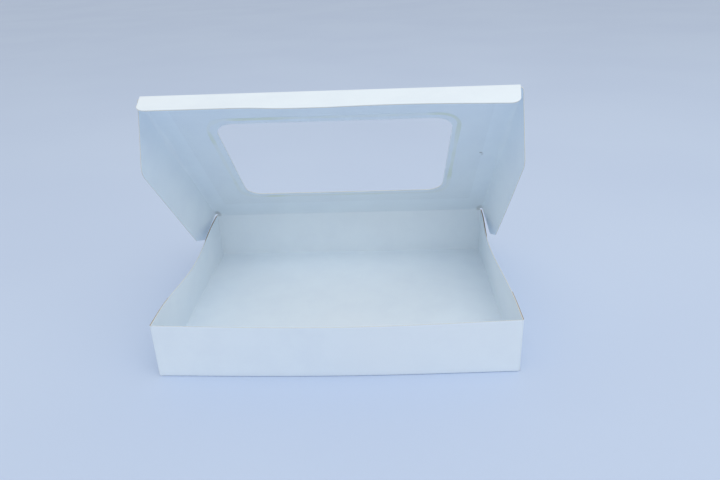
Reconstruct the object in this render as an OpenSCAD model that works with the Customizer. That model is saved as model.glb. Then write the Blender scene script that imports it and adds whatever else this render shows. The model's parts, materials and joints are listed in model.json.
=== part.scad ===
// One-piece card bakery box: a glued tray with a window lid hinged on its back wall.
// Millimetres. Origin in the middle of the tray's underside, X to the right,
// Y to the back, Z up. Drawn as it stands in use, the lid part way open.

/* [Tray] */
// Width over the side walls
tray_w = 229; // [150:1:320]
// Depth from the front wall's foot to the back wall
tray_d = 178; // [130:1:260]
// Height of the walls
tray_h = 38; // [25:0.5:75]
// Thickness of the card
card_t = 0.46; // [0.3:0.01:0.7]
// How far the front wall's top edge bulges forwards in its middle
front_bulge = 5; // [0.5:0.5:12]
// How far the front wall's foot bulges forwards in its middle
foot_bulge = 2.5; // [0:0.5:4]
// How far the left wall's top edge leans inwards
left_bow = 5.2; // [0.5:0.5:7]
// How far the right wall's top edge leans inwards
right_bow = 4; // [0.5:0.5:7]
// Where the left wall leans in most, as a part of the depth from the back
left_bow_at = 0.54; // [0.4:0.01:0.6]
// Where the right wall leans in most, as a part of the depth from the back
right_bow_at = 0.4; // [0.3:0.01:0.6]
// Where both side walls stand straight again, as a part of the depth from the back
bow_end = 0.9; // [0.8:0.01:0.95]

/* [Corner tabs] */
// Length of the tabs that turn back from the front wall
front_tab = 35; // [20:1:45]
// Length of the tabs that turn forwards from the back wall
rear_tab = 52; // [30:1:70]
// How much the free end of a tab is cut away towards its foot
tab_taper = 3; // [0:0.5:8]
// Clear space between a tab's lower edge and the table
tab_foot = 1; // [0.5:0.5:4]

/* [Lid] */
// How far the lid stands open from closed, in degrees
lid_open = 45.4; // [0:0.1:180]
// Space between the shut lid and the tops of the walls
lid_gap = 0.3; // [0.3:0.05:1]
// Space between a shut flap and the wall or tab that it covers
flap_gap = 0.4; // [0.2:0.05:1]
// Space left along the creases between the lid and its flaps
crease_gap = 0.15; // [0.1:0.05:0.4]

/* [Window] */
// Card between the hinge and the window
window_back = 41.6; // [30:0.1:55]
// Card between the window and the front crease
window_front = 33.8; // [25:0.1:50]
// Card at the window's left and right
window_side = 37.8; // [30:0.1:55]
// Radius of the window's corners
window_r = 12.3; // [4:0.1:18]
// Thickness of the clear film
film_t = 0.12; // [0.05:0.01:0.16]
// How far the film reaches past the window in front and behind
film_lap = 18; // [8:0.5:20]
// How far the film reaches past the window at its sides
film_side_lap = 24; // [8:0.5:26]
// Width of the line of glue round the window
glue_w = 2.8; // [1:0.1:4]
// Thickness of the line of glue
glue_t = 0.08; // [0.05:0.01:0.12]
// Card left bare between the window and the glue
glue_inset = 4.6; // [0.3:0.1:8]

/* [Side flaps] */
// Height of a shut side flap's free edge above the table
side_foot = 3; // [1:0.5:10]
// How far the left flap is folded down, in degrees
left_fold = 81; // [0:0.5:90]
// How far the right flap is folded down, in degrees
right_fold = 83; // [0:0.5:90]
// Slant of a side flap's front end, in degrees
side_slant = 42; // [5:1:50]
// Radius of a side flap's front corner
side_r = 12; // [3:0.5:14]
// Slant of a side flap's back end, in degrees
side_back_slant = 18; // [5:1:45]
// Length of the cut across a side flap's back corner
side_clip = 18; // [5:1:30]
// Depth of the cut across a side flap's back corner
side_clip_depth = 8; // [3:0.5:12]
// Space between a side flap's ends and the corners of the lid
side_end_gap = 1.5; // [1:0.1:4]

/* [Front flap] */
// How far the front flap reaches from its crease
front_depth = 20.5; // [12:0.5:24]
// How far the front flap is folded down, in degrees
front_fold = 60; // [0:0.5:90]
// Radius of the front flap's corners
front_r = 6; // [3:0.5:11]
// Space between the front flap's ends and the corners of the lid
front_end_gap = 1.6; // [1:0.1:4]
// How much each end of the front flap is cut back towards its free edge
front_taper = 3.2; // [0:0.1:6]
// Height of the waves in the front flap's free edge
front_wave = 0.9; // [0:0.1:1.5]

/* [Hidden] */
$fn = 48;

// Depth to which a tab is sunk into the wall that it is glued to
glue_seat = 0.06;
// Hinge line of the lid, above the middle of the back wall's thickness
hinge_y = tray_d / 2 - card_t / 2;
hinge_z = tray_h + lid_gap + card_t / 2;
// Creases of the side flaps and the front flap, measured from the hinge
side_x = tray_w / 2 - glue_seat + card_t + flap_gap + card_t / 2;
lid_len = hinge_y + tray_d / 2 + max(front_bulge, foot_bulge) + flap_gap + card_t / 2;
edge_gap = card_t / 2 + crease_gap;
side_depth = hinge_z - side_foot;

window_x = side_x - window_side;
window_y0 = window_back;
window_y1 = lid_len - window_front;

// Lean of a side wall along its depth: none at the back corner, most at `at`,
// none again just behind the front corner
function lean(v, at, end) =
    v <= 0 || v >= end ? 0 :
    v < at ? (1 - cos(180 * v / at)) / 2 :
    (1 + cos(180 * (v - at) / (end - at))) / 2;
// Share of a wall's lean that is reached at k of its height
function upward(k) = pow(k, 1.2);
// How far the front wall stands forwards at u of its width and k of its height
function front_out(u, k) =
    (foot_bulge + (front_bulge - foot_bulge) * k) * pow(sin(180 * u), 1.15);

// A side of the tray in plan, from its front corner to its back one: how far out of the
// wall, and how far back. At each end the tab's fold, the tab's outside, and its free end,
// which is cut at a slant: `up` is how far up the tab a level is, from 0 to 1.
across_steps = 24;
along_steps = 20;
fold = [for (turn = [0:22.5:90]) card_t * [sin(turn), 1 - cos(turn)] - [glue_seat, 0]];
function tab_plan(reach, up) = let(
    steps = ceil(along_steps * reach / tray_d),
    length = reach - tab_taper * (1 - up))
    concat(fold, [for (i = [1:steps]) [card_t - glue_seat, length * i / steps]],
        [[0, length + 0.02]]);
function side_plan(up) = let(
    from = tab_plan(front_tab, up),
    to = tab_plan(rear_tab, up),
    start = from[len(from) - 1][1],
    end = tray_d - to[len(to) - 1][1],
    steps = ceil(along_steps * (tray_d - front_tab - rear_tab) / tray_d))
    concat(from, [for (i = [1:steps - 1]) [0, start + (end - start) * i / steps]],
        [for (i = [len(to) - 1:-1:0]) [to[i][0], tray_d - to[i][1]]]);

// Length of the stretch beside a corner in which a wall's inside makes room for the next
// wall
corner = 4;

// One level of the tray, going round from the front left corner; t is the distance inwards
// from the outside of the card, and `tabs` is 1 where the tabs are outside the side walls
function side_ring(k, z, t, tabs, bow, at) =
    [for (p = side_plan(min(1, max(0, (z - tab_foot) / (tray_h - tab_foot))))) let(
        near = min(p[1], tray_d - p[1]),
        inset = t * max(0, 1 - near / corner),
        y = p[1] < tray_d / 2 ? p[1] + inset : p[1] - inset,
        leaning = bow * upward(k) * lean(1 - p[1] / tray_d, at, bow_end))
        [tray_w / 2 - t + (tabs == 1 ? p[0] : min(0, p[0])) - leaning, y - tray_d / 2, z]];
function ring(k, z, t, tabs) = let(
    w = tray_w - 2 * t - 2 * glue_seat,
    d = tray_d - 2 * t,
    left = side_ring(k, z, t, tabs, left_bow, left_bow_at)) concat(
    [for (i = [1:across_steps - 1]) let(u = i / across_steps)
        [w * (u - 0.5), -d / 2 - front_out(u, k), z]],
    side_ring(k, z, t, tabs, right_bow, right_bow_at),
    [[0, d / 2, z]],
    [for (i = [len(left) - 1:-1:0]) [-left[i][0], left[i][1], z]]);

// Bottom and four walls, folded from one sheet. The ends of the front and back walls are
// tabs, folded round the corners and glued flat outside the side walls, lean and all.
module tray() {
    levels = 5;
    outer = concat([ring(0, 0, 0, 0), ring(tab_foot / tray_h, tab_foot, 0, 0),
        ring(tab_foot / tray_h, tab_foot + 0.02, 0, 1)],
        [for (j = [1:levels]) ring(j / levels, tray_h * j / levels, 0, 1)]);
    inner = [for (j = [levels:-1:0])
        ring(j / levels, j == 0 ? card_t : tray_h * j / levels, card_t, 0)];
    rings = concat(outer, inner);
    n = len(outer[0]);
    rows = len(rings);
    points = [for (r = rings) each r];
    faces = concat(
        [[for (i = [0:n - 1]) i]],
        [for (j = [0:rows - 2], i = [0:n - 1]) let(m = (i + 1) % n)
            [j * n + i, (j + 1) * n + i, (j + 1) * n + m]],
        [for (j = [0:rows - 2], i = [0:n - 1]) let(m = (i + 1) % n)
            [j * n + i, (j + 1) * n + m, j * n + m]],
        [[for (i = [n - 1:-1:0]) (rows - 1) * n + i]]);
    color([0.88, 0.92, 0.98]) polyhedron(points = points, faces = faces);
}

// Places the lid's pieces, drawn shut with the hinge line at the origin
module on_lid() {
    translate([0, hinge_y, hinge_z])
        rotate([-lid_open, 0, 0])
            children();
}

// Rounded plate round the window, grown by g, from height z
module window_plate(gx, gy, r, z, t) {
    x = window_x + gx;
    y0 = window_y0 - gy;
    y1 = window_y1 + gy;
    translate([0, 0, z]) linear_extrude(t) union() {
        translate([-x, -y1 + r]) square([2 * x, y1 - y0 - 2 * r]);
        translate([-x + r, -y1]) square([2 * x - 2 * r, y1 - y0]);
        for (i = [-1, 1], y = [-y1 + r, -y0 - r]) translate([i * (x - r), y]) circle(r);
    }
}

module lid_panel() {
    color([0.88, 0.92, 0.98]) on_lid() difference() {
        translate([-side_x + edge_gap, -lid_len + edge_gap, -card_t / 2])
            cube([2 * (side_x - edge_gap), lid_len - edge_gap, card_t]);
        window_plate(0, 0, window_r, -card_t, 2 * card_t);
    }
}

// The glue lies on the lid's inside, the film on the glue
module window_glue() {
    z = -card_t / 2 - glue_t;
    color([0.75, 0.78, 0.5]) on_lid() difference() {
        window_plate(glue_inset + glue_w, glue_inset + glue_w, window_r + glue_w, z, glue_t);
        window_plate(glue_inset, glue_inset, window_r, z - glue_t, 3 * glue_t);
    }
}

module window_film() {
    z = -card_t / 2 - glue_t - film_t;
    color([0.9, 0.95, 1, 0.3]) on_lid()
        translate([-window_x - film_side_lap, -window_y1 - film_lap, z])
            cube([2 * (window_x + film_side_lap), window_y1 - window_y0 + 2 * film_lap, film_t]);
}

// Flat side flap, its crease along x = 0, reaching towards +x
module side_flap() {
    y0 = -side_end_gap - card_t;
    y1 = -lid_len + edge_gap + side_end_gap;
    back = side_depth - side_clip_depth;
    back_y = y0 - back * tan(side_back_slant);
    // Middle of the rounded corner, which touches the free edge and the slanted end
    cx = side_depth - side_r;
    cy = y1 + cx * tan(side_slant) + side_r / cos(side_slant);
    turn = 90 - side_slant;
    translate([0, 0, -card_t / 2]) linear_extrude(card_t)
        polygon(concat(
            [[0, y1], [0, y0], [back, back_y], [side_depth, back_y - side_clip]],
            [for (i = [0:12])
                [cx + side_r * cos(turn * i / 12), cy - side_r * sin(turn * i / 12)]]));
}

module lid_left_flap() {
    color([0.85, 0.9, 0.97]) on_lid()
        translate([-side_x, 0, 0]) rotate([0, -left_fold, 0]) mirror([1, 0, 0]) side_flap();
}

module lid_right_flap() {
    color([0.85, 0.9, 0.97]) on_lid()
        translate([side_x, 0, 0]) rotate([0, right_fold, 0]) side_flap();
}

// Free edge of the front flap: rounded corners, and a kink left of the middle
flap_steps = 30;
flap_x = side_x - front_end_gap - card_t;
function flap_reach(x) = let(e = flap_x - abs(x))
    e >= front_r ? front_depth :
    front_depth - front_r + sqrt(max(0, front_r * front_r - pow(front_r - e, 2)));
function flap_wave(x) = let(u = x / flap_x, r = max(0, u)) front_wave *
    (1.3 / (1 + exp(24 * (u + 0.33))) - 0.3 + 0.55 * sin(250 * r) - 0.5 * pow(r, 4));
function flap_column(i) = let(
    c = i / flap_steps,
    s = c < 0.15 ? -1 + (1 - cos(c / 0.15 * 90)) * front_r / flap_x :
        c > 0.85 ? 1 - (1 - cos((1 - c) / 0.15 * 90)) * front_r / flap_x :
        (c - 0.5) / 0.35 * (1 - front_r / flap_x)) s * flap_x;

module lid_front_flap() {
    rows = 3;
    n = (flap_steps + 1) * (rows + 1);
    points = [for (side = [-1, 1], i = [0:flap_steps], j = [0:rows])
        let(x = flap_column(i), v = j / rows, depth = flap_reach(x) * v)
        [x * (1 - front_taper / flap_x * depth / front_depth), -depth,
            side * card_t / 2 + flap_wave(x) * v * v]];
    function at(s, i, j) = s * n + i * (rows + 1) + j;
    rim = concat(
        [for (i = [0:flap_steps - 1]) [i, 0]],
        [for (j = [0:rows - 1]) [flap_steps, j]],
        [for (i = [flap_steps:-1:1]) [i, rows]],
        [for (j = [rows:-1:1]) [0, j]]);
    m = len(rim);
    faces = concat(
        [for (i = [0:flap_steps - 1], j = [0:rows - 1])
            [at(0, i, j), at(0, i, j + 1), at(0, i + 1, j + 1)]],
        [for (i = [0:flap_steps - 1], j = [0:rows - 1])
            [at(0, i, j), at(0, i + 1, j + 1), at(0, i + 1, j)]],
        [for (i = [0:flap_steps - 1], j = [0:rows - 1])
            [at(1, i, j), at(1, i + 1, j + 1), at(1, i, j + 1)]],
        [for (i = [0:flap_steps - 1], j = [0:rows - 1])
            [at(1, i, j), at(1, i + 1, j), at(1, i + 1, j + 1)]],
        [for (k = [0:m - 1]) let(a = rim[k], b = rim[(k + 1) % m])
            [at(0, a[0], a[1]), at(0, b[0], b[1]), at(1, b[0], b[1])]],
        [for (k = [0:m - 1]) let(a = rim[k], b = rim[(k + 1) % m])
            [at(0, a[0], a[1]), at(1, b[0], b[1]), at(1, a[0], a[1])]]);
    color([0.9, 0.94, 1]) on_lid()
        translate([0, -lid_len, 0]) rotate([front_fold, 0, 0])
            polyhedron(points = points, faces = faces);
}

tray();
lid_panel();
window_film();
window_glue();
lid_front_flap();
lid_left_flap();
lid_right_flap();
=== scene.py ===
import json
import math
import bpy
from mathutils import Matrix, Vector


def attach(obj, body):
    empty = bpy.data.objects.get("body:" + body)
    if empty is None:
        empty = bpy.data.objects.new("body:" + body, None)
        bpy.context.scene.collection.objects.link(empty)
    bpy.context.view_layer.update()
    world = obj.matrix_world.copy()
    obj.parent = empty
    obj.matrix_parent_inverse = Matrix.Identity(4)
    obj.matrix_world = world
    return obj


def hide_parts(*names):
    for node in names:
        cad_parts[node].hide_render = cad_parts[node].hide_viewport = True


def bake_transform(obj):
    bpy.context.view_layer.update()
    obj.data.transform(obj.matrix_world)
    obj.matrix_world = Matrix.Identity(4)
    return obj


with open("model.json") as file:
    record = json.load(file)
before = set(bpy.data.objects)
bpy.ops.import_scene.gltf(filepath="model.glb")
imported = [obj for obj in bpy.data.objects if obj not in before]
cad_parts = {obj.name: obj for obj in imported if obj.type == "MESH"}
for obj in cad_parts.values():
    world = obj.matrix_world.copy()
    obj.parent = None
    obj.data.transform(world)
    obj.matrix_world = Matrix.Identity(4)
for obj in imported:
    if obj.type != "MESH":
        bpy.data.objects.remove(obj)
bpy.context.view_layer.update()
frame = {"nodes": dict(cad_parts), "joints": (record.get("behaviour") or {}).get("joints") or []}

# Tray. One sheet of white coated card, scored, folded up on four sides and left springy:
# the front wall bulges forwards and the side walls lean inwards. The ends of the front and
# back walls turn round the corners as tabs, which are glued outside the side walls.
card_t = 0.00046
half_t = card_t / 2
half_w, half_d, wall_h = 0.1145, 0.089, 0.038
front_bulge, foot_bulge = 0.005, 0.0025
side_bows = {-1: (0.0052, 0.54), 1: (0.004, 0.4)}  # how far each side wall leans, and where
bow_end = 0.9
foot_r, corner_r = 0.0009, 0.0007
tab_foot, tab_taper, tab_drop = 0.001, 0.003, 0.0003
tab_lengths = {-1: 0.035, 1: 0.052}  # at the front and at the back
crisp = 0.0012  # half the width of a sharply folded crease

joints = {j["name"]: j for j in frame["joints"]}
hinge = Vector(joints["lid_hinge"]["pos_m"])


class Socket:
    """A shader value: ordinary arithmetic on it adds Math nodes."""

    def __init__(self, tree, link):
        self.tree, self.link = tree, link

    def node(self, kind, settings, inputs, output=0):
        """Adds a node: its settings first, then the values or links of its sockets."""
        made = self.tree.nodes.new(kind)
        for name, value in settings.items():
            setattr(made, name, value)
        for name, value in inputs.items():
            if isinstance(value, Socket):
                self.tree.links.new(value.link, made.inputs[name])
            else:
                made.inputs[name].default_value = value
        return Socket(self.tree, made.outputs[output])

    def math(self, operation, first, second):
        return self.node("ShaderNodeMath", {"operation": operation}, {0: first, 1: second})

    def __add__(self, other):
        return self.math("ADD", self, other)

    def __sub__(self, other):
        return self.math("SUBTRACT", self, other)

    def __rsub__(self, other):
        return self.math("SUBTRACT", other, self)

    def __mul__(self, other):
        return self.math("MULTIPLY", self, other)

    __radd__, __rmul__ = __add__, __mul__

    def vector(self, operation, other, output="Vector"):
        return self.node("ShaderNodeVectorMath", {"operation": operation},
                         {0: self, 1: other}, output)

    def step(self, low, high):
        """0 where the value is below low, 1 above high, and smooth between."""
        return self.node("ShaderNodeMapRange", {"interpolation_type": "SMOOTHSTEP"},
                         {"Value": self, "From Min": low, "From Max": high})

    def mix(self, first, second):
        """The colour first where the value is 0, and second where it is 1."""
        return self.node("ShaderNodeMix", {"data_type": "RGBA"}, {0: self, 6: first, 7: second}, 2)

    def noise(self, scale, detail=2.0, roughness=0.5):
        return self.node("ShaderNodeTexNoise", {},
                         {"Vector": self, "Scale": scale, "Detail": detail, "Roughness": roughness})

    def near(self, place, size):
        """1 at a place and 0 beyond its size, which is given along each axis."""
        offset = self.vector("SUBTRACT", place).vector("DIVIDE", size)
        return 1 - offset.vector("LENGTH", (0, 0, 0), "Value").step(0.3, 1.0)

    def feeds(self, shader, name):
        self.tree.links.new(self.link, shader.inputs[name])

    def bumps(self, shader, strength, distance):
        self.node("ShaderNodeBump", {}, {"Strength": strength, "Distance": distance,
                                         "Height": self}).feeds(shader, "Normal")


def new_material(name):
    """A material, its shader and the place of each point of the piece in metres."""
    material = bpy.data.materials.new(name)
    material.use_nodes = True
    shader = material.node_tree.nodes["Principled BSDF"]
    start = Socket(material.node_tree, None)
    return material, shader, start.node("ShaderNodeTexCoord", {}, {}, "Object")


def written(red, green, blue):
    """A colour as it is read off a screen, 0 to 255, as shader values."""
    linear = [c / 12.92 if c <= 0.04045 else ((c + 0.055) / 1.055) ** 2.4
              for c in (red / 255, green / 255, blue / 255)]
    return (*linear, 1.0)


def white_card(name, marks_and_shade=()):
    """Coated card: faint mottling of the coat, a fine fibre grain under it, and the spots on it,
    real ticks and nicks and also painted shade, each with its place, size, colour, strength, and
    where the marked face looks."""
    material, shader, at = new_material(name)
    mottle = at.noise(45, 4.0, 0.6).step(0.35, 0.7)
    colour = mottle.mix(written(233, 244, 252), written(230, 241, 250))
    colour = at.noise(7).step(0.5, 0.8).mix(colour, written(234, 243, 250))
    # Each spot is mixed over the coat: some are real marks on the card, some are painted shade.
    for place, size, tone, strength, facing in marks_and_shade:
        side = at.vector("SUBTRACT", place).vector("DOT_PRODUCT", facing, "Value")
        on_face = side.step(-0.0001, 0.0001)
        colour = (at.near(place, size) * on_face * strength).mix(colour, tone)
    colour.feeds(shader, "Base Color")
    (at.noise(120, 3.0) * 0.16 + 0.44).feeds(shader, "Roughness")
    (at.noise(1600, 3.0, 0.7) * 0.6 + at.noise(240) * 1.4).bumps(shader, 0.1, 0.0002)
    return material


def cut_edge(name, tone, dark, marks_and_shade=()):
    """The board between the two coats, as a cut edge shows it: fibrous and dull."""
    material, shader, at = new_material(name)
    colour = at.noise(2200, 4.0, 0.8).step(0.3, 0.7).mix(tone, dark)
    # The spots mixed in here are painted shade on the edge, over the board's own colour.
    for place, size, edge_brown_and_shade, strength in marks_and_shade:
        colour = (at.near(place, size) * strength).mix(colour, edge_brown_and_shade)
    colour.feeds(shader, "Base Color")
    (at.noise(900) * 0.2 + 0.75).feeds(shader, "Roughness")
    at.noise(2600, 3.0, 0.7).bumps(shader, 0.4, 0.0002)
    return material


fibre, dark_fibre, brown = written(226, 228, 224), written(212, 211, 202), written(138, 114, 82)
pale_edge = cut_edge("pale_cut_edge", fibre, dark_fibre)
# Painted shade: the side walls' cut top edges turn brown near the back corners, where the lid
# shades the gap beside the tabs; partly the board's own edge colour too.
wall_edge_and_shade = cut_edge("wall_cut_edge", fibre, dark_fibre, [
    ((side * 0.113, 0.068, wall_h), (0.02, 0.045, 0.02), brown, 0.9) for side in (-1, 1)])
# Tan of the tabs' cut edges: partly the board's colour, and partly painted shade of the narrow gap
# between each tab and its wall.
tan_edge_and_shade = cut_edge("tan_cut_edge", written(160, 137, 102), written(124, 104, 76))
tick = written(150, 130, 108)
tray_white = white_card("tray_card", [
    ((-0.1125, 0.0400, 0.0205), (0.003, 0.0009, 0.0022), tick, 0.7, (1, 0, 0)),
    ((-0.1130, 0.0410, 0.0155), (0.003, 0.0007, 0.0018), tick, 0.5, (1, 0, 0))])


def sheet(name, steps, place, material, joined="", edge=pale_edge, thickness=card_t):
    """A piece of card: a flat grid, each point of which goes to place(u, v), made as thick
    as card. Cut edges show the board. The edges in `joined`, of the left, right, near and
    far ones, go on in another piece."""
    bpy.ops.object.select_all(action="DESELECT")
    bpy.ops.mesh.primitive_grid_add(x_subdivisions=steps[0], y_subdivisions=steps[1], size=1)
    piece = bpy.context.object
    piece.name = piece.data.name = name
    mesh = piece.data
    flat = [(v.co.x + 0.5, v.co.y + 0.5) for v in mesh.vertices]
    for vertex, (u, v) in zip(mesh.vertices, flat):
        vertex.co = place(u, v)
    across = mesh.attributes.new("u", "FLOAT", "POINT")
    across.data.foreach_set("value", [u for u, v in flat])
    down = mesh.attributes.new("v", "FLOAT", "POINT")
    down.data.foreach_set("value", [v for u, v in flat])
    mesh.materials.append(material)
    mesh.materials.append(edge)
    solid = piece.modifiers.new("thickness", "SOLIDIFY")
    solid.thickness = thickness
    solid.offset = 0
    solid.use_even_offset = True
    solid.material_offset_rim = 1
    bpy.ops.object.modifier_apply(modifier="thickness")
    for face in mesh.polygons:
        us = [mesh.attributes["u"].data[i].value for i in face.vertices]
        vs = [mesh.attributes["v"].data[i].value for i in face.vertices]
        sides = {"left": max(us) < 1e-4, "right": min(us) > 0.9999,
                 "near": max(vs) < 1e-4, "far": min(vs) > 0.9999}
        if face.material_index and any(sides[s] for s in joined.split()):
            face.material_index = 0
    mesh.attributes.remove(mesh.attributes["u"])
    mesh.attributes.remove(mesh.attributes["v"])
    bpy.ops.object.mode_set(mode="EDIT")
    bpy.ops.mesh.select_all(action="SELECT")
    bpy.ops.mesh.normals_make_consistent(inside=False)
    bpy.ops.object.mode_set(mode="OBJECT")
    bpy.ops.object.shade_smooth_by_angle(angle=math.radians(35))
    return piece


def front_out(x, height):
    """How far the front wall stands forwards of its corners."""
    u = min(max(x / half_w / 2 + 0.5, 0), 1)
    bulge = foot_bulge + (front_bulge - foot_bulge) * height / wall_h
    return bulge * math.sin(math.pi * u) ** 1.15


def lean(v, peak):
    """Lean of a side wall at v of the depth from the back, from 0 to 1 at the peak."""
    if not 0 < v < bow_end:
        return 0.0
    if v < peak:
        return (1 - math.cos(math.pi * v / peak)) / 2
    return (1 + math.cos(math.pi * (v - peak) / (bow_end - peak))) / 2


def up_wall(v, top):
    """Distance inwards of a wall, and height, at v of the way from the start of the crease
    round its foot to its top: close steps round the crease, wider ones above it."""
    if v < 0.4:
        turn = v / 0.4 * math.pi / 2
        return foot_r * (1 - math.sin(turn)), half_t + foot_r * (1 - math.cos(turn))
    start = half_t + foot_r
    return 0.0, start + (top - start) * (v - 0.4) / 0.6


wall_x = half_w - corner_r + card_t * 0.4  # where the front and back walls turn into tabs


def front_wall(u, v):
    inwards, height = up_wall(v, wall_h)
    x = wall_x * (2 * u - 1)
    return Vector((x, half_t - half_d - front_out(x, height) + inwards, height))


def back_wall(u, v):
    inwards, height = up_wall(v, hinge.z - crisp)
    return Vector((wall_x * (1 - 2 * u), half_d - half_t - inwards, height))


def side_wall(side):
    bow, peak = side_bows[side]

    def place(u, v):
        inwards, height = up_wall(v, wall_h)
        y = (half_d - card_t) * (2 * u - 1) * side
        leaning = bow * (height / wall_h) ** 1.2 * lean((half_d - y) / (2 * half_d), peak)
        return Vector((side * (half_w - half_t - inwards - leaning), y, height))
    return place


def bottom(u, v):
    x = (half_w - half_t - foot_r) * (2 * u - 1)
    front = half_t + foot_r - half_d - front_out(x * half_w / (half_w - half_t - foot_r), 0)
    back = half_d - half_t - foot_r
    return Vector((x, front + (back - front) * v, half_t))


def corner_tab(side, end):
    """side is -1 for the left and 1 for the right, end -1 for the front and 1 for the back.
    Glued flat to the wall, each tab leans as the wall does."""
    reach = tab_lengths[end]
    bow, peak = side_bows[side]

    def place(u, v):
        run = u * (reach - corner_r * (1 - math.pi / 2))
        turn = min(run / corner_r, math.pi / 2)
        past = max(0.0, run - corner_r * math.pi / 2) * (1 - tab_taper * (1 - v) / reach)
        height = tab_foot + (wall_h - tab_drop * past / reach - tab_foot) * v
        y = end * (half_d - half_t - corner_r * (1 - math.cos(turn)) - past)
        leaning = bow * (height / wall_h) ** 1.2 * lean((half_d - y) / (2 * half_d), peak)
        return Vector((side * (wall_x + corner_r * math.sin(turn) - leaning), y, height))
    return place


tray_sheets = [
    sheet("front_wall", (64, 16), front_wall, tray_white, "left right near"),
    sheet("back_wall", (8, 16), back_wall, tray_white, "left right near far"),
    sheet("right_wall", (56, 16), side_wall(1), tray_white, "left right near", wall_edge_and_shade),
    sheet("left_wall", (56, 16), side_wall(-1), tray_white, "left right near", wall_edge_and_shade),
    sheet("bottom", (40, 4), bottom, tray_white, "left right near far"),
] + [sheet("tab", (30, 16), corner_tab(side, end), tray_white, "left", tan_edge_and_shade)
     for side in (-1, 1) for end in (-1, 1)]
bpy.ops.object.select_all(action="DESELECT")
for piece in tray_sheets:
    piece.select_set(True)
bpy.context.view_layer.objects.active = tray_sheets[0]
bpy.ops.object.join()
tray_card = tray_sheets[0]
tray_card.name = tray_card.data.name = "tray_card"
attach(tray_card, "tray")
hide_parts("tray")

# Lid panel. The same sheet goes on over the crease at the top of the back wall. It is flat,
# with a window cut out of it with round corners. Its places are given across from the
# middle, along from the hinge, and out from the middle of the card's thickness.
front_crease = Vector(joints["front_flap_hinge"]["pos_m"])
lid_length = (front_crease - hinge).length
lid_along = (front_crease - hinge).normalized()
lid_across = Vector((1, 0, 0))
lid_out = lid_along.cross(lid_across)
side_crease = joints["right_flap_hinge"]["pos_m"][0]
soft = 0.0085  # half the width of the strip in which a soft side crease turns
window_x, window_r = 0.07773, 0.0123
window_back, window_front = 0.0416, lid_length - 0.0338


def on_lid(across, along, out=0.0):
    return hinge + lid_across * across + lid_along * along + lid_out * out


# Painted shade: the first two spots, inside the lid at the hinge corners, stand for the shadowed
# gap where the side creases start. The last two are a small dark nick in the card and a faint line
# beside it.
shade_and_nick = written(112, 110, 104)
lid_white = white_card("lid_card", [
    (on_lid(-0.1125, 0.0035), (0.0034, 0.0075, 0.0075), shade_and_nick, 0.35, -lid_out),
    (on_lid(0.1128, 0.0030), (0.0034, 0.0075, 0.0075), shade_and_nick, 0.35, -lid_out),
    (on_lid(0.1010, 0.1016), (0.0016, 0.0012, 0.0012), shade_and_nick, 0.6, -lid_out),
    (on_lid(0.1022, 0.0995), (0.0012, 0.003, 0.003), shade_and_nick, 0.2, -lid_out)])


def panel(u, v):
    return on_lid((side_crease - soft) * (2 * u - 1), crisp + (lid_length - 2 * crisp) * v)


lid_card = sheet("lid_card", (1, 1), panel, lid_white, "left right near far")
bpy.ops.object.select_all(action="DESELECT")
bpy.ops.mesh.primitive_cube_add(size=1, scale=(2 * window_x, window_front - window_back, 0.01))
cutter = bpy.context.object
weights = cutter.data.attributes.new("bevel_weight_edge", "FLOAT", "EDGE")
for edge in cutter.data.edges:
    first, second = (cutter.data.vertices[i].co for i in edge.vertices)
    weights.data[edge.index].value = float(abs(first.z - second.z) > 0.005)
corners = cutter.modifiers.new("corners", "BEVEL")
corners.limit_method = "WEIGHT"
corners.width = window_r
corners.segments = 16
bpy.ops.object.modifier_apply(modifier="corners")
for vertex in cutter.data.vertices:
    vertex.co = on_lid(vertex.co.x, (window_back + window_front) / 2 + vertex.co.y, vertex.co.z)
cutter.data.materials.append(pale_edge)
bpy.ops.object.mode_set(mode="EDIT")
bpy.ops.mesh.select_all(action="SELECT")
bpy.ops.mesh.normals_make_consistent(inside=False)
bpy.ops.object.mode_set(mode="OBJECT")
bpy.ops.object.select_all(action="DESELECT")
lid_card.select_set(True)
bpy.context.view_layer.objects.active = lid_card
cut = lid_card.modifiers.new("window", "BOOLEAN")
cut.object = cutter
cut.operation = "DIFFERENCE"
cut.solver = "EXACT"
cut.material_mode = "TRANSFER"
bpy.ops.object.modifier_apply(modifier="window")
bpy.data.objects.remove(cutter)
bpy.ops.object.shade_smooth_by_angle(angle=math.radians(35))
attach(lid_card, "lid")
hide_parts("lid_panel")

# Hinge crease. The scored line at the top of the back wall, on which the lid turns.
fold_radius = 0.0022


def folded(run, radius, angle, corner):
    """Where a sheet gets to that is folded at `corner` round a crease of this radius: how
    far on, and how far below, a point is that is `run` along the card."""
    start = corner - radius * math.tan(angle / 2)
    if run <= start:
        return run, 0.0
    turned = min((run - start) / radius, angle)
    past = run - start - turned * radius
    return (start + radius * math.sin(turned) + past * math.cos(angle),
            -radius * (1 - math.cos(turned)) - past * math.sin(angle))


def hinge_fold(u, v):
    turn = math.pi / 2 - math.atan2(lid_along.z, -lid_along.y)
    up, forwards = folded(2 * crisp * v, fold_radius, turn, crisp)
    return hinge + Vector(((side_crease - 0.0018) * (1 - 2 * u), forwards, up - crisp))


hinge_crease = sheet("hinge_crease", (4, 12), hinge_fold, lid_white, "near far")
on_lid(0, crisp)
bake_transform(hinge_crease)

# Side flaps. Each is one flap of the sheet, folded down along the lid's side. The crease is
# pressed sharp beside the hinge, but near the front the card only rolls over softly.
side_depth = 0.03553
side_corner_r = 0.012
front_slant, back_slant = math.radians(42), math.radians(18)
clip_depth, clip_length = 0.008, 0.018
flap_back = 0.0015 + card_t
flap_front = lid_length - 0.00188
curls = {-1: 0.0, 1: math.radians(0.8)}  # how much more each is folded near the front


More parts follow.
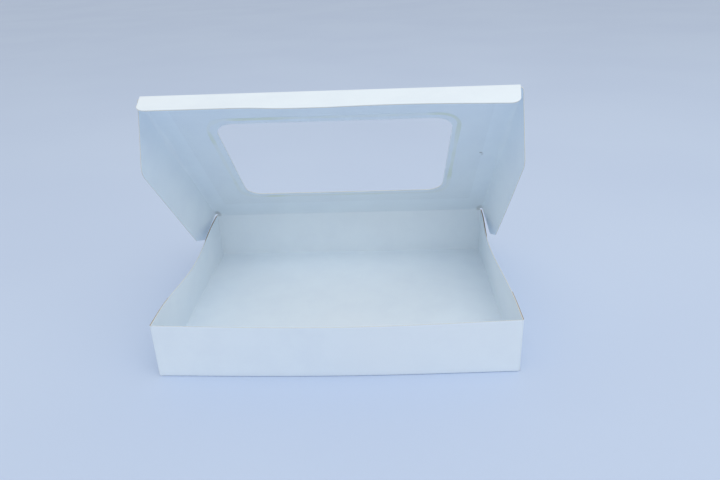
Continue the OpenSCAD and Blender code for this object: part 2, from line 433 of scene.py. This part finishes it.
def eased(along, start, end):
    """0 before `start` and 1 after `end`, which are shares of the lid's length."""
    share = min(max((along / lid_length - start) / (end - start), 0), 1)
    return share * share * (3 - 2 * share)


def side_radius(along):
    return 0.0012 + 0.0040 * eased(along, 0.35, 0.7) - 0.0020 * eased(along, 0.7, 0.86)


def side_span(depth):
    """From where to where, along the crease, a flap reaches at a depth below it."""
    back, front = flap_back, flap_front
    if depth > 0:
        back += min(depth, side_depth - clip_depth) * math.tan(back_slant)
        back += max(0.0, depth - side_depth + clip_depth) / clip_depth * clip_length
        front -= depth * math.tan(front_slant)
    middle = side_depth - side_corner_r
    if depth > middle + side_corner_r * math.sin(front_slant):
        centre = flap_front - middle * math.tan(front_slant) - side_corner_r / math.cos(front_slant)
        front = centre + math.sqrt(max(0.0, side_corner_r ** 2 - (depth - middle) ** 2))
    return back, front


def side_flap(side, name):
    fold = math.radians(-joints[name + "_flap_hinge"]["range_deg"][0])

    def turned(along):
        return fold + curls[side] * eased(along, 0.42, 0.84)

    def place(run, along):
        across, drop = folded(side_crease + run, side_radius(along), turned(along), side_crease)
        return on_lid(side * across, along, drop)

    def run_to(depth, along):
        """The way along the rolled card to a point that ends up at a depth down the flap."""
        radius, angle = side_radius(along), turned(along)
        return depth - 2 * radius * math.tan(angle / 2) + radius * angle

    def flap(u, v):
        depth = soft + (side_depth - soft) * (1 - (1 - v) ** 2)
        back, front = side_span(depth)
        along = back + (front - back) * u
        return place(run_to(depth, along), along)

    def crease(u, v):
        run = soft * (2 * v - 1)
        back, front = side_span(run)
        along = back + (front - back) * u
        return place(run_to(soft, along) * run / soft if run > 0 else run, along)

    flap_card = sheet(name + "_flap_card", (48, 16), flap, lid_white, "near")
    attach(flap_card, name + "_flap")
    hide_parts("lid_" + name + "_flap")
    crease_card = sheet(name + "_flap_crease", (64, 32), crease, lid_white, "near far")
    middle = lid_length / 2
    place(-soft, middle)
    place(run_to(soft, middle), middle)
    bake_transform(crease_card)


side_flap(-1, "left")
side_flap(1, "right")

# Front flap. A narrow flap with tapered, rounded ends, bent down over a sharp crease along
# the front of the lid. Its free edge waves, with a kink left of the middle.
front_depth = 0.0205
front_corner_r = 0.006
front_taper = 0.0032
front_wave = 0.0009
front_x = side_crease - 0.0016 - card_t
front_fold = math.radians(-joints["front_flap_hinge"]["range_deg"][0])
flap_down = lid_along * math.cos(front_fold) - lid_out * math.sin(front_fold)
flap_out = lid_out * math.cos(front_fold) + lid_along * math.sin(front_fold)


def flap_column(u):
    """The columns of the flap, closer together at its rounded corners."""
    if u < 0.15:
        return -front_x + (1 - math.cos(u / 0.15 * math.pi / 2)) * front_corner_r
    if u > 0.85:
        return front_x - (1 - math.cos((1 - u) / 0.15 * math.pi / 2)) * front_corner_r
    return (u - 0.5) / 0.35 * (front_x - front_corner_r)


def flap_reach(x):
    short = max(0.0, front_corner_r - (front_x - abs(x)))
    return front_depth - front_corner_r + math.sqrt(max(0.0, front_corner_r ** 2 - short ** 2))


def flap_wave(x):
    u = x / front_x
    right = max(0.0, u)
    return front_wave * (1.3 / (1 + math.exp(24 * (u + 0.33))) - 0.3
                         + 0.55 * math.sin(math.radians(250 * right)) - 0.5 * right ** 4)


def front_flap(u, v):
    x = flap_column(u)
    depth = crisp + (flap_reach(x) - crisp) * v
    narrower = x * (1 - front_taper / front_x * depth / front_depth)
    wave = flap_wave(x) * (depth / flap_reach(x)) ** 2
    return front_crease + lid_across * narrower + flap_down * depth + flap_out * wave


def front_crease_fold(u, v):
    run, drop = folded(lid_length - crisp + 2 * crisp * v, 0.0011, front_fold, lid_length)
    narrower = 1 - front_taper / front_x * max(0.0, 2 * v - 1) * crisp / front_depth
    return on_lid(flap_column(u) * narrower, run, drop)


front_flap_card = sheet("front_flap_card", (80, 10), front_flap, lid_white, "near")
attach(front_flap_card, "front_flap")
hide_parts("lid_front_flap")
front_crease_card = sheet("front_flap_crease", (80, 10), front_crease_fold, lid_white, "near far")
on_lid(0, lid_length - crisp)
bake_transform(front_crease_card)

# Window film. Thin clear film, larger than the window, stuck inside the lid.
film, film_shader, at = new_material("clear_film")
at.noise(60).step(0.3, 0.8).mix(written(228, 236, 242), written(240, 245, 248)).feeds(
    film_shader, "Base Color")
(at.noise(90) * 0.06 + 0.05).feeds(film_shader, "Roughness")
film_shader.inputs["Alpha"].default_value = 0.015
at.noise(35).bumps(film_shader, 0.15, 0.001)
film_node = frame["nodes"]["window_film"]
film_node.data.materials.clear()
film_node.data.materials.append(film)

# Line of glue. Laid round the window by a nozzle and pressed flat under the film; it has
# dried yellowish, and is broader where the nozzle stopped at the corners.
glue_t = 0.00008
glue_gap = {"left": 0.0056, "right": 0.0042, "front": 0.0052, "back": 0.0046}
glue_width = 0.0026
glue_corner = 0.0145
blobs = [((-0.0775, 0.1535), 0.0024), ((-0.0808, 0.0410), 0.0026), ((0.0760, 0.0385), 0.0016)]

glue, glue_shader, at = new_material("dried_glue")
at.noise(28, 2.0).step(0.42, 0.62).mix(written(231, 241, 246), written(224, 235, 226)).feeds(
    glue_shader, "Base Color")
(at.noise(300) * 0.2 + 0.3).feeds(glue_shader, "Roughness")
at.noise(500, 3.0).bumps(glue_shader, 0.3, 0.0002)


def glue_line(u, v):
    """u goes once round the window, and v across the line."""
    low = Vector((-window_x - glue_gap["left"], window_back - glue_gap["back"]))
    high = Vector((window_x + glue_gap["right"], window_front + glue_gap["front"]))
    sides = [high.x - low.x - 2 * glue_corner, high.y - low.y - 2 * glue_corner]
    arc = glue_corner * math.pi / 2
    run = (u % 1.0) * (2 * sum(sides) + 4 * arc)
    place = Vector((low.x + glue_corner, low.y))
    heading = Vector((1, 0))
    for length in sides * 2:
        if run <= length:
            place = place + heading * run
            break
        place, run = place + heading * length, run - length
        inwards = Vector((-heading.y, heading.x))
        turn = min(run, arc) / glue_corner
        centre = place + inwards * glue_corner
        place = centre + (heading * math.sin(turn) - inwards * math.cos(turn)) * glue_corner
        heading = heading * math.cos(turn) + inwards * math.sin(turn)
        if run <= arc:
            break
        run -= arc
    outwards = Vector((heading.y, -heading.x))
    wide = glue_width * (1 + 0.12 * math.sin(46 * u) + 0.1 * math.sin(101 * u + 1))
    for spot, more in blobs:
        wide += more * math.exp(-((place - Vector(spot)).length / 0.0035) ** 2)
    place = place + outwards * wide * (v - 0.5)
    return on_lid(place.x, place.y, -half_t - glue_t / 2)


glue_strip = sheet("glue_line", (240, 4), glue_line, glue, edge=glue, thickness=glue_t)
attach(glue_strip, "lid")
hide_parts("window_glue")

# Floor. One plain pale sheet of backdrop cloth that the box stands on.
cloth, cloth_shader, at = new_material("backdrop_cloth")
at.noise(3.0).step(0.3, 0.7).mix(written(200, 216, 240), written(197, 213, 238)).feeds(
    cloth_shader, "Base Color")
(at.noise(200) * 0.1 + 0.85).feeds(cloth_shader, "Roughness")
at.noise(1200, 3.0, 0.7).bumps(cloth_shader, 0.15, 0.0003)
bpy.ops.object.select_all(action="DESELECT")
bpy.ops.mesh.primitive_plane_add(size=30)
floor = bpy.context.object
floor.name = "floor"
floor.data.materials.append(cloth)

# Light. A pale surround, and one large soft lamp above, in front and a little to the right.
world = bpy.data.worlds.new("pale_surround")
world.use_nodes = True
world.node_tree.nodes["Background"].inputs["Color"].default_value = (1, 1, 1, 1)
world.node_tree.nodes["Background"].inputs["Strength"].default_value = 0.71
bpy.context.scene.world = world
lamp_data = bpy.data.lights.new("soft_lamp", "AREA")
lamp_data.shape = "SQUARE"
lamp_data.size = 1.6
lamp_data.energy = 8.0
lamp = bpy.data.objects.new("soft_lamp", lamp_data)
lamp.location = (0.30, -0.66, 1.42)
lamp.rotation_euler = (-lamp.location).to_track_quat("-Z", "Y").to_euler()
bpy.context.scene.collection.objects.link(lamp)

# Camera. In front and a little to the right, looking down into the open tray, with the
# slight tilt of a hand-held shot; its focal length is 630 pixels of the photo's 720.
camera_data = bpy.data.cameras.new("photo_camera")
camera_data.sensor_width = 36
camera_data.lens = 36 * 630 / 720
camera = bpy.data.objects.new("photo_camera", camera_data)
yaw, pitch, roll = (math.radians(a) for a in (-2.6175, 24.7892, -2.3389))
ahead = Vector((math.sin(yaw) * math.cos(pitch), math.cos(yaw) * math.cos(pitch), -math.sin(pitch)))
level_right = ahead.cross(Vector((0, 0, 1))).normalized()
level_up = level_right.cross(ahead)
right = level_right * math.cos(roll) + level_up * math.sin(roll)
up = level_up * math.cos(roll) - level_right * math.sin(roll)
camera_turn = Matrix((right, up, -ahead)).transposed().to_4x4()
camera.matrix_world = Matrix.Translation((0.03269, -0.41616, 0.24484)) @ camera_turn
bpy.context.scene.collection.objects.link(camera)
bpy.context.scene.camera = camera
bpy.context.scene.view_settings.view_transform = "Standard"
